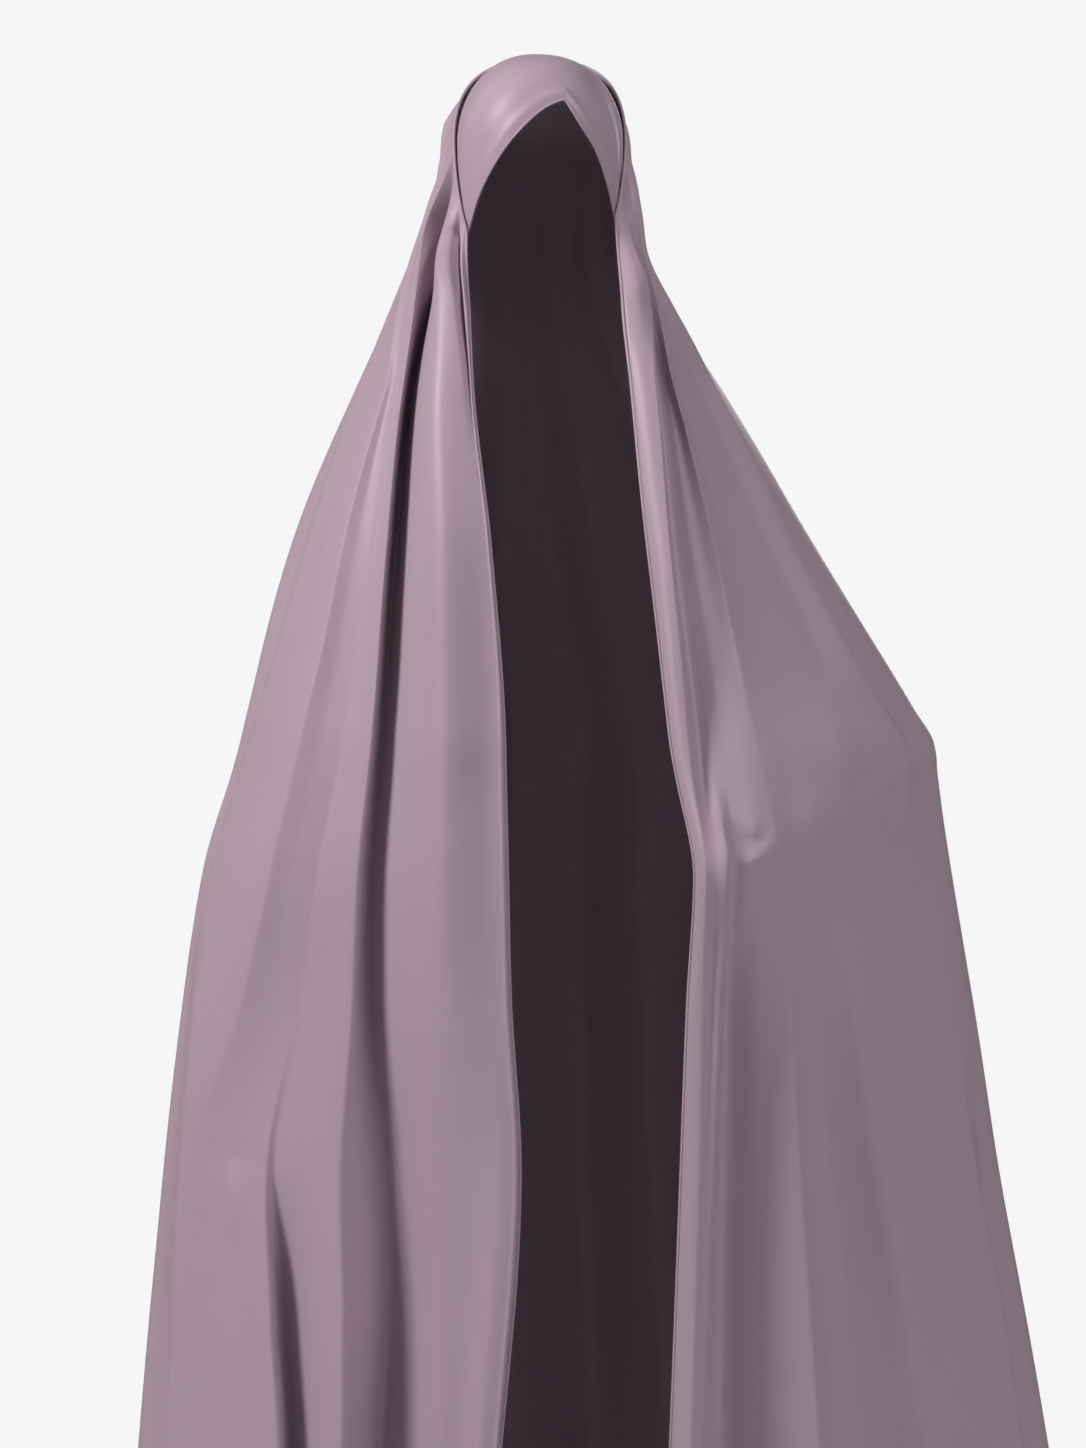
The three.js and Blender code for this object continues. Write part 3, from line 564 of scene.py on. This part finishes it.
def creaseHeight(side, x, drop):
    total = np.zeros_like(x)
    for crease in creases:
        if crease["side"] != side:
            continue
        path = np.array(crease["path"]) * (reach[side], length)
        nearest = np.full(x.shape, 1.0)
        strength = np.zeros_like(x)
        steps = len(path) - 1
        for i in range(steps):
            run = path[i + 1] - path[i]
            spot = np.stack([np.abs(x), drop], -1) - path[i]
            t = clamp(spot @ run / (run @ run))
            far = np.linalg.norm(spot - t[..., None] * run, axis=-1)
            taper = np.sin(math.pi * mix(creaseEnd, 1 - creaseEnd, (i + t) / steps))
            strength = np.where(far < nearest, taper, strength)
            nearest = np.minimum(nearest, far)
        total += crease["height"] * strength * np.exp(-((nearest / crease["width"]) ** 2))
    return total


def unevenHeight(points):
    scaled = points * (waver["across"], waver["across"], waver["down"])
    values = [noise.noise(Vector(point)) for point in scaled.reshape(-1, 3)]
    return np.array(values).reshape(points.shape[:2]) * waver["height"]


def surfaceNormals(points):
    across = np.gradient(points, axis=1)
    down = np.gradient(points, axis=0)
    return unit(np.cross(down, across))


def mantlePoints():
    shares = rowShares()
    columns = []
    for i, count in enumerate(columnPlan()):
        crisp = max(foldLines[i]["crisp"], foldLines[i + 1]["crisp"])
        for k in range(count):
            u = k / count
            t = u - mantleGrid["crowding"] * crisp * math.sin(2 * math.pi * u) / (2 * math.pi)
            columns.append(mantleColumn(i, t, shares))
    columns.append(mantleColumn(len(foldLines) - 2, 1.0, shares))
    points = np.stack(columns, 1)
    drop = cloth["top"] - points[..., 2]
    away = between(drop, waver["from"])
    height = unevenHeight(points) * away
    for side, sign in (("left", -1), ("right", 1)):
        front = (points[..., 1] < 0) & (points[..., 0] * sign > 0)
        height += np.where(front, creaseHeight(side, points[..., 0], drop), 0.0)
    return points + surfaceNormals(points) * height[..., None]


# A sheet of quads from rows and columns of points, with a UV map in metres along the cloth
def clothSheet(name, points):
    rowCount, columnCount = points.shape[:2]
    along = np.linalg.norm(np.diff(points, axis=1), axis=-1)
    down = np.linalg.norm(np.diff(points, axis=0), axis=-1)
    u = np.concatenate([np.zeros((rowCount, 1)), np.cumsum(along, 1)], 1)
    v = np.concatenate([np.zeros((1, columnCount)), np.cumsum(down, 0)], 0)
    u = np.broadcast_to(u.mean(0), u.shape)
    ids = np.arange(rowCount * columnCount).reshape(rowCount, columnCount)
    quads = np.stack([ids[:-1, :-1], ids[:-1, 1:], ids[1:, 1:], ids[1:, :-1]], -1).reshape(-1, 4)
    mesh = bpy.data.meshes.new(name)
    mesh.from_pydata(points.reshape(-1, 3).tolist(), [], quads.tolist())
    uvLayer = mesh.uv_layers.new(name="cloth")
    uvs = np.stack([u, v], -1).reshape(-1, 2)[quads.reshape(-1)]
    uvLayer.data.foreach_set("uv", uvs.reshape(-1))
    mesh.update()
    sheet = bpy.data.objects.new(name, mesh)
    bpy.context.scene.collection.objects.link(sheet)
    mesh.polygons.foreach_set("use_smooth", [True] * len(mesh.polygons))
    return sheet


def giveWall(sheet, wall):
    bpy.ops.object.select_all(action="DESELECT")
    sheet.select_set(True)
    bpy.context.view_layer.objects.active = sheet
    solidify = sheet.modifiers.new("wall", "SOLIDIFY")
    solidify.thickness = wall
    solidify.offset = -1
    bpy.ops.object.modifier_apply(modifier=solidify.name)


# The closed path round a grid of points
def rimOf(places):
    return np.concatenate([places[:-1, 0], places[-1, :-1], places[:0:-1, -1], places[0, :0:-1]])


# A rolled hem: a thin tube swept along a closed path, with a UV map in metres
def rolledHem(name, path, radius, sides=8):
    ahead = unit(np.roll(path, -1, axis=0) - np.roll(path, 1, axis=0))
    guide = np.where(np.abs(ahead[:, 1:2]) > 0.9, (1.0, 0.0, 0.0), (0.0, 1.0, 0.0))
    first = unit(np.cross(ahead, guide))
    second = np.cross(ahead, first)
    angles = np.linspace(0, 2 * math.pi, sides, endpoint=False)
    rings = [path + radius * (first * math.cos(a) + second * math.sin(a)) for a in angles]
    points = np.stack(rings + rings[:1], 1)
    points = np.concatenate([points, points[:1]], 0)
    hem = clothSheet(name, points)
    mergeDoubles(hem)
    return hem


def mergeDoubles(piece):
    bpy.ops.object.select_all(action="DESELECT")
    piece.select_set(True)
    bpy.context.view_layer.objects.active = piece
    bpy.ops.object.mode_set(mode="EDIT")
    bpy.ops.mesh.select_all(action="SELECT")
    bpy.ops.mesh.remove_doubles(threshold=0.00001)
    bpy.ops.mesh.normals_make_consistent(inside=False)
    bpy.ops.object.mode_set(mode="OBJECT")


# Crepe: a fine pebbled weave with a soft sheen, a little uneven in tone
crepeLook = {
    "colour": (0.390, 0.290, 0.346, 1.0),
    "deepColour": (0.364, 0.266, 0.320, 1.0),
    "roughness": 0.5,
    "sheen": 0.05,
    "sheenRoughness": 0.45,
    "shine": 0.42,
    "glint": (1.0, 0.84, 0.94, 1.0),  # the fibres tint what they reflect
    "toneScale": 9.0,
    "toneShare": 0.6,  # of the broad tone, the rest is the weave's
    "weaveScale": 900.0,
    "weaveDepth": 0.00012,
    "weaveStrength": 0.35,
}


class Socket:
    def __init__(self, tree, socket):
        self.tree = tree
        self.socket = socket

    def maths(self, operation, other):
        node = self.tree.nodes.new("ShaderNodeMath")
        node.operation = operation
        for slot, value in enumerate((self, other)):
            if isinstance(value, Socket):
                self.tree.links.new(value.socket, node.inputs[slot])
            else:
                node.inputs[slot].default_value = value
        return Socket(self.tree, node.outputs[0])

    def __add__(self, other):
        return self.maths("ADD", other)

    def __mul__(self, other):
        return self.maths("MULTIPLY", other)

    __radd__ = __add__
    __rmul__ = __mul__


class Finish:
    def __init__(self, name):
        self.material = bpy.data.materials.new(name)
        self.material.use_nodes = True
        self.tree = self.material.node_tree
        self.shader = self.tree.nodes["Principled BSDF"]

    def node(self, kind, output, settings, **inputs):
        made = self.tree.nodes.new(kind)
        for key, value in settings.items():
            setattr(made, key, value)
        for key, value in inputs.items():
            slot = made.inputs[int(key[1:])] if key[0] == "i" and key[1:].isdigit() else made.inputs[key]
            if isinstance(value, Socket):
                self.tree.links.new(value.socket, slot)
            else:
                slot.default_value = value
        return Socket(self.tree, made.outputs[output])

    def feed(self, key, value):
        if isinstance(value, Socket):
            self.tree.links.new(value.socket, self.shader.inputs[key])
        else:
            self.shader.inputs[key].default_value = value


def crepeFinish():
    finish = Finish("crepe")
    uv = finish.node("ShaderNodeUVMap", "UV", {"uv_map": "cloth"})
    broad = finish.node("ShaderNodeTexNoise", "Fac", {}, Vector=uv, Detail=3.0, Scale=crepeLook["toneScale"])
    pebble = finish.node("ShaderNodeTexNoise", "Fac", {}, Vector=uv, Detail=2.0,
                         Scale=crepeLook["weaveScale"])
    both = broad * crepeLook["toneShare"] + pebble * (1 - crepeLook["toneShare"])
    tone = finish.node("ShaderNodeMix", 2, {"data_type": "RGBA"}, i0=both,
                       i6=crepeLook["deepColour"], i7=crepeLook["colour"])
    bump = finish.node("ShaderNodeBump", "Normal", {}, Height=pebble, Strength=crepeLook["weaveStrength"],
                       Distance=crepeLook["weaveDepth"])
    finish.feed("Base Color", tone)
    finish.feed("Normal", bump)
    finish.feed("Roughness", crepeLook["roughness"])
    finish.feed("Sheen Weight", crepeLook["sheen"])
    finish.feed("Sheen Roughness", crepeLook["sheenRoughness"])
    finish.feed("Specular IOR Level", crepeLook["shine"])
    finish.feed("Specular Tint", crepeLook["glint"])
    return finish.material


crepe = crepeFinish()

# The mantle
mantlePlaces = mantlePoints()
mantle = clothSheet("mantleCloth", mantlePlaces)
giveWall(mantle, cloth["wall"])
mantle.data.materials.append(crepe)
mantleHem = rolledHem("mantleHem", rimOf(mantlePlaces), cloth["hem"])
mantleHem.data.materials.append(crepe)
print("mantle:", len(mantle.data.polygons), "faces")

# The headpiece: cloth on the form from the face opening back over the crown and on under the mantle
faceOpening = {
    "cheekAside": {"left": -0.060, "right": 0.0625},
    "peak": (0.020, 0.047),  # right of the middle, below the crown
    "peakRound": 0.002,
    "left": ([1.0, 0.88, 0.60, 0.20, 0.0], [1.0, 0.74, 0.385, 0.083, 0.0]),  # aside, down, cheek to peak
    "right": ([1.0, 0.89, 0.63, 0.34, 0.0], [1.0, 0.79, 0.46, 0.25, 0.0]),
}
headpieceGrid = {"rows": 70, "columns": 160, "lift": 0.0016}


def formFace(x, drop):
    power = headForm["power"]
    rise = headForm["rise"] - drop
    used = np.abs(x / headForm["halfWidth"]) ** power + np.abs(rise / headTall(rise)) ** power
    y = -headForm["halfDepth"] * np.maximum(0, 1 - used) ** (1 / power)
    return np.stack([x, y, -drop], -1)


def openingPoints(turn):
    x, drop = np.zeros_like(turn), np.zeros_like(turn)
    peakX, peakDrop = faceOpening["peak"]
    for side, pick in (("left", turn < 0), ("right", turn >= 0)):
        aside, down = faceOpening[side]
        stations = np.linspace(0, 1, len(aside))
        at = 1 - np.abs(turn[pick])
        x[pick] = mix(peakX, faceOpening["cheekAside"][side], smoothThrough(stations, aside, at))
        down = mix(0, seam["cheekDrop"][side] - peakDrop, smoothThrough(stations, down, at))
        drop[pick] = peakDrop + np.hypot(down, faceOpening["peakRound"])
    return formFace(x, drop)


# Low folds on the headpiece, along the face opening: share of the way back, height, width, middle and reach
headpieceFolds = [
    {"back": 0.075, "height": 0.0020, "width": 0.040, "turn": 0.05, "reach": 0.60},
    {"back": 0.240, "height": 0.0024, "width": 0.090, "turn": -0.25, "reach": 0.30},
    {"back": 0.420, "height": 0.0022, "width": 0.070, "turn": -0.55, "reach": 0.30},
    {"back": 0.300, "height": 0.0020, "width": 0.080, "turn": 0.50, "reach": 0.30},
    {"back": 0.520, "height": 0.0018, "width": 0.060, "turn": 0.55, "reach": 0.25},
    {"back": 0.620, "height": 0.0016, "width": 0.080, "turn": -0.20, "reach": 0.35},
]


def headpieceRelief(share, turn):
    total = np.zeros_like(turn)
    for fold in headpieceFolds:
        along = np.exp(-(((turn - fold["turn"]) / fold["reach"]) ** 2))
        total += fold["height"] * along * math.exp(-(((share - fold["back"]) / fold["width"]) ** 2))
    return total


def headpiecePoints():
    turn = np.linspace(-1, 1, headpieceGrid["columns"] + 1)
    front = openingPoints(turn) - headMiddle
    back = seamPoint(turn, seam["lap"]) - headMiddle
    rows = []
    for share in np.linspace(0, 1, headpieceGrid["rows"] + 1):
        fitFront = np.linalg.norm(front, axis=-1) / formRadius(unit(front))
        fitBack = np.linalg.norm(back, axis=-1) / formRadius(unit(back))
        direction = unit(mix(unit(front), unit(back), share))
        points = direction * (formRadius(direction) * mix(fitFront, fitBack, share))[:, None] + headMiddle
        rows.append(liftOff(points, headpieceGrid["lift"] + headpieceRelief(share, turn)))
    return np.stack(rows, 0)


headpiecePlaces = headpiecePoints()
headpiece = clothSheet("headpieceCloth", headpiecePlaces)
giveWall(headpiece, cloth["wall"])
headpiece.data.materials.append(crepe)
headpieceHem = rolledHem("headpieceHem", rimOf(headpiecePlaces), cloth["fineHem"])
headpieceHem.data.materials.append(crepe)
print("headpiece:", len(headpiece.data.polygons), "faces")

riders = [(mantle, "mantle"), (mantleHem, "mantle"), (headpiece, "headpiece"), (headpieceHem, "headpiece")]
for piece, node in riders:
    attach(piece, "root")
    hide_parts(node)

# Floor, lights and camera
stage = {
    "floorGap": 0.02,  # below the hem
    "floorRadius": 2.4,
    "cameraAt": (0.0026, -3.6, -0.5715),
    "cameraSees": 1.2453,  # height of the camera's view at the origin
    "sensor": 24,
    "floorColour": (0.86, 0.86, 0.87, 1.0),
    "floorRoughness": 0.8,
    "wallColour": (0.92, 0.92, 0.925, 1),
    "ambient": 0.07,
}


def makeFloor():
    bpy.ops.object.select_all(action="DESELECT")
    place = (0, 0, mantleLow.z - stage["floorGap"])
    bpy.ops.mesh.primitive_circle_add(
        vertices=96, radius=stage["floorRadius"], fill_type="NGON", location=place
    )
    floor = bpy.context.object
    floor.name = "floor"
    finish = Finish("paleFloor")
    finish.feed("Base Color", stage["floorColour"])
    finish.feed("Roughness", stage["floorRoughness"])
    floor.data.materials.append(finish.material)


def softBox(name, place, aim, size, watts):
    light = bpy.data.lights.new(name, "AREA")
    light.size = size
    light.energy = watts
    holder = bpy.data.objects.new(name, light)
    holder.location = place
    holder.rotation_euler = (Vector(aim) - Vector(place)).to_track_quat("-Z", "Y").to_euler()
    holder.visible_camera = False
    bpy.context.scene.collection.objects.link(holder)


def makeWorld():
    world = bpy.data.worlds.new("studio")
    bpy.context.scene.world = world
    world.use_nodes = True
    tree = world.node_tree
    back = tree.nodes["Background"]
    back.inputs["Color"].default_value = stage["wallColour"]
    seen = tree.nodes.new("ShaderNodeBackground")
    seen.inputs["Color"].default_value = stage["wallColour"]
    path = tree.nodes.new("ShaderNodeLightPath")
    blend = tree.nodes.new("ShaderNodeMixShader")
    back.inputs["Strength"].default_value = stage["ambient"]
    tree.links.new(path.outputs["Is Camera Ray"], blend.inputs[0])
    tree.links.new(back.outputs[0], blend.inputs[1])
    tree.links.new(seen.outputs[0], blend.inputs[2])
    tree.links.new(blend.outputs[0], tree.nodes["World Output"].inputs[0])


def makeCamera():
    camera = bpy.data.cameras.new("photo")
    camera.sensor_fit = "VERTICAL"
    camera.sensor_height = stage["sensor"]
    camera.lens = camera.sensor_height * -stage["cameraAt"][1] / stage["cameraSees"]
    holder = bpy.data.objects.new("photo", camera)
    holder.location = stage["cameraAt"]
    holder.rotation_euler = (math.pi / 2, 0, 0)
    bpy.context.scene.collection.objects.link(holder)
    bpy.context.scene.camera = holder


makeFloor()
makeWorld()
makeCamera()
softBox("key", (-2.2, -1.1, 1.2), (0, 0, -0.4), 0.8, 94)
softBox("fill", (2.5, -2.4, 1.8), (0, 0, -0.4), 1.6, 86)
softBox("back", (0.7, 3.4, 0.2), (0, 0, -0.7), 1.8, 46)
bpy.context.scene.view_settings.view_transform = "Standard"
